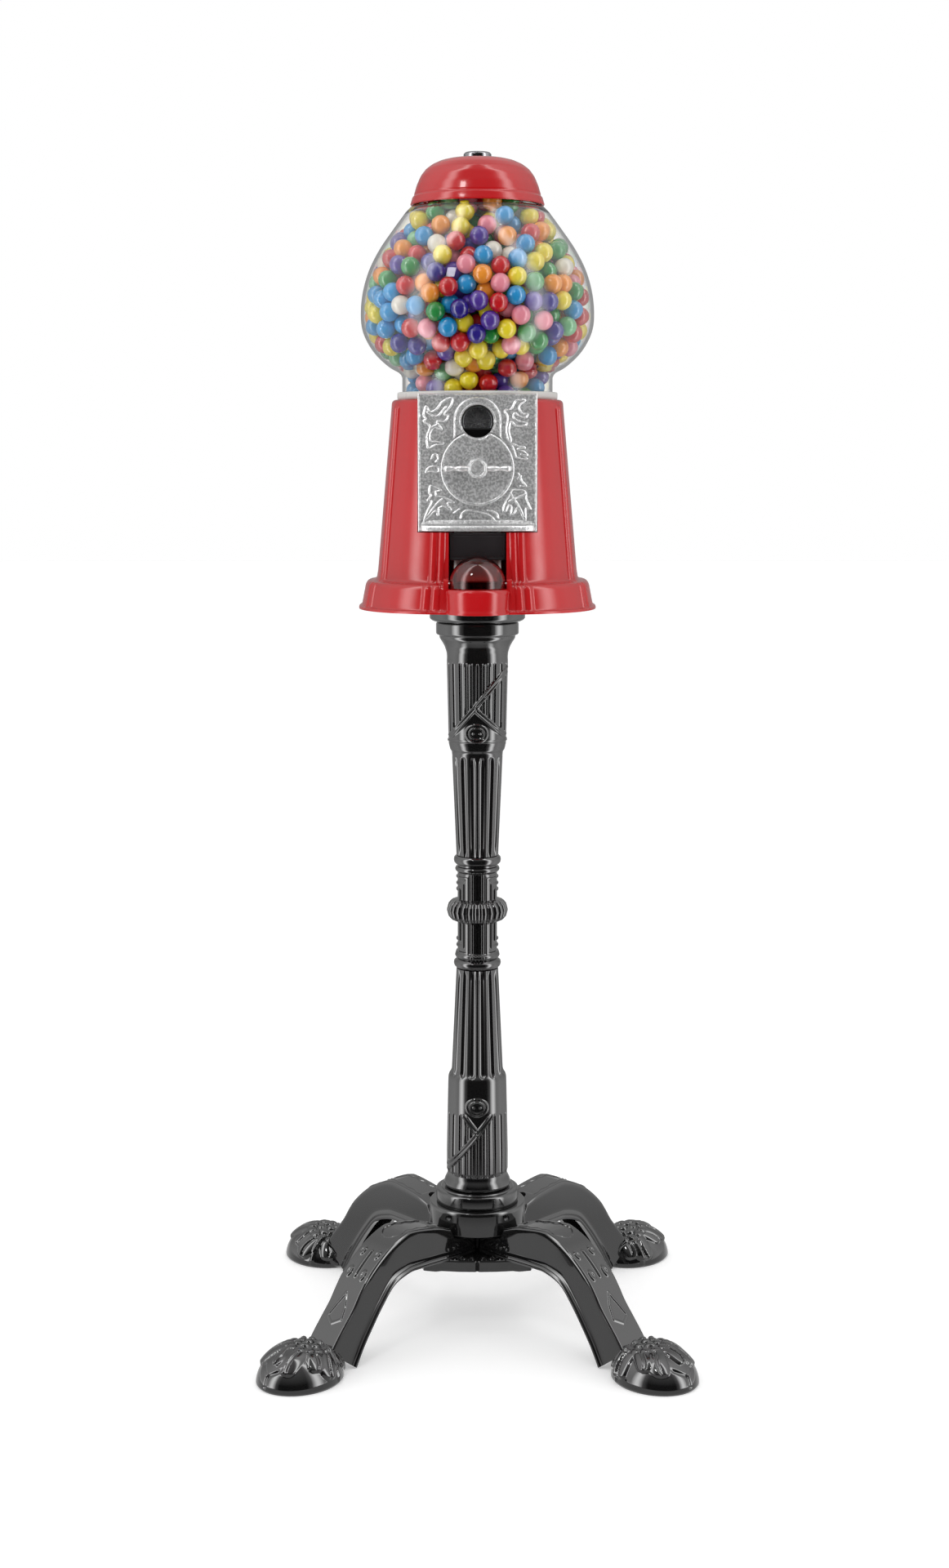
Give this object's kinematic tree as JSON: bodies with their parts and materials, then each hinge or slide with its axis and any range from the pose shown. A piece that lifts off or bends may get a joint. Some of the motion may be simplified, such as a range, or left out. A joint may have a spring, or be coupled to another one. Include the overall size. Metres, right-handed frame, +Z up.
{
  "type": "gumball machine",
  "caption": "Coin-operated gumball machine: glass globe on a flared red body with a turn knob and a flap-covered cup, on a cast pedestal with splayed paw-foot legs.",
  "frame": {"origin": "on the floor under the column's axis, level with the feet's soles", "axes": "+Z up along the column, -Y towards the person who turns the knob, +X to that person's right"},
  "size_m": [0.3424, 0.3424, 0.94],
  "materials": {
    "red_paint": "glossy red enamel on cast metal",
    "black_paint": "glossy black enamel on castings",
    "die_cast": "stippled grey die casting with bright raised edges",
    "steel": "plain zinc-plated steel",
    "brass": "turned brass",
    "white_plastic": "moulded pale plastic",
    "smoke_plastic": "dark glossy plastic",
    "clear_plastic": "clear moulded plastic",
    "glass": "clear blown glass",
    "rubber": "soft rubber",
    "gum": "candy shell in mixed colours",
    "dark_chrome": "dark polished plating"
  },
  "bodies": {
    "machine": {"body_shell": "red_paint", "stand_top_plate": "black_paint", "upper_column": "black_paint", "centre_boss": "black_paint", "lower_column": "black_paint", "hub_collar": "black_paint", "leg_hub": "black_paint", "star_plate": "black_paint", "leg_front_left": "black_paint", "leg_front_right": "black_paint", "leg_rear_left": "black_paint", "leg_rear_right": "black_paint", "front_plate": "die_cast", "tie_rod": "steel", "tie_rod_nut": "steel", "rod_coupler": "steel", "centre_rod": "steel", "base_plate": "steel", "mech_back_plate": "steel", "pawl_pin": "steel", "flap_pin_left": "steel", "flap_pin_right": "steel", "leg_bolt_front_left": "steel", "leg_bolt_front_right": "steel", "leg_bolt_rear_left": "steel", "leg_bolt_rear_right": "steel", "plate_screw_1": "steel", "plate_screw_2": "steel", "plate_screw_3": "steel", "plate_screw_4": "steel", "shaft_bush": "brass", "wheel_deck": "white_plastic", "hopper": "white_plastic", "wheel_cover": "white_plastic", "globe_collar": "white_plastic", "chute_slide": "white_plastic", "deck_post_1": "white_plastic", "deck_post_2": "white_plastic", "deck_post_3": "white_plastic", "chute_shield": "smoke_plastic", "globe": "glass", "globe_gasket": "rubber", "gumball_fill": "gum"},
    "knob": {"turn_knob": "die_cast", "knob_shaft": "steel", "coin_carrier": "steel", "ratchet_wheel": "steel", "drive_gear": "brass", "shaft_clip": "steel", "coin": "die_cast"},
    "dispensing_wheel": {"gum_wheel": "white_plastic", "wheel_gear": "white_plastic"},
    "pawl": {"pawl": "brass"},
    "flap": {"chute_flap": "clear_plastic"},
    "lid": {"lid": "red_paint", "lid_gasket": "rubber"},
    "lock": {"lid_lock": "dark_chrome"}
  },
  "joints": [
    {"name": "knob_turn", "type": "hinge", "parent": "machine", "child": "knob", "pos_m": [0, -0.066, 0.6977], "axis": [0, 1, 0], "continuous": true},
    {"name": "wheel_turn", "type": "hinge", "parent": "machine", "child": "dispensing_wheel", "pos_m": [0, 0, 0.713], "axis": [0, 0, 1], "continuous": true},
    {"name": "pawl_rock", "type": "hinge", "parent": "machine", "child": "pawl", "pos_m": [0.0117, -0.0598, 0.7147], "axis": [0, -1, 0], "range_deg": [-8, 4], "stiffness_Nm_per_rad": 0.01},
    {"name": "flap_lift", "type": "hinge", "parent": "machine", "child": "flap", "pos_m": [0, -0.084, 0.611], "axis": [-1, 0, 0], "range_deg": [0, 60]},
    {"name": "lid_lift", "type": "slide", "parent": "machine", "child": "lid", "axis": [0, 0, 1], "range_m": [0, 0.12]},
    {"name": "lock_turn", "type": "hinge", "parent": "lid", "child": "lock", "pos_m": [0, 0, 0.94], "axis": [0, 0, 1], "range_deg": [0, 90]}
  ],
  "couplings": [
    {"joint": "wheel_turn", "follows": "knob_turn", "ratio": 0.25}
  ]
}
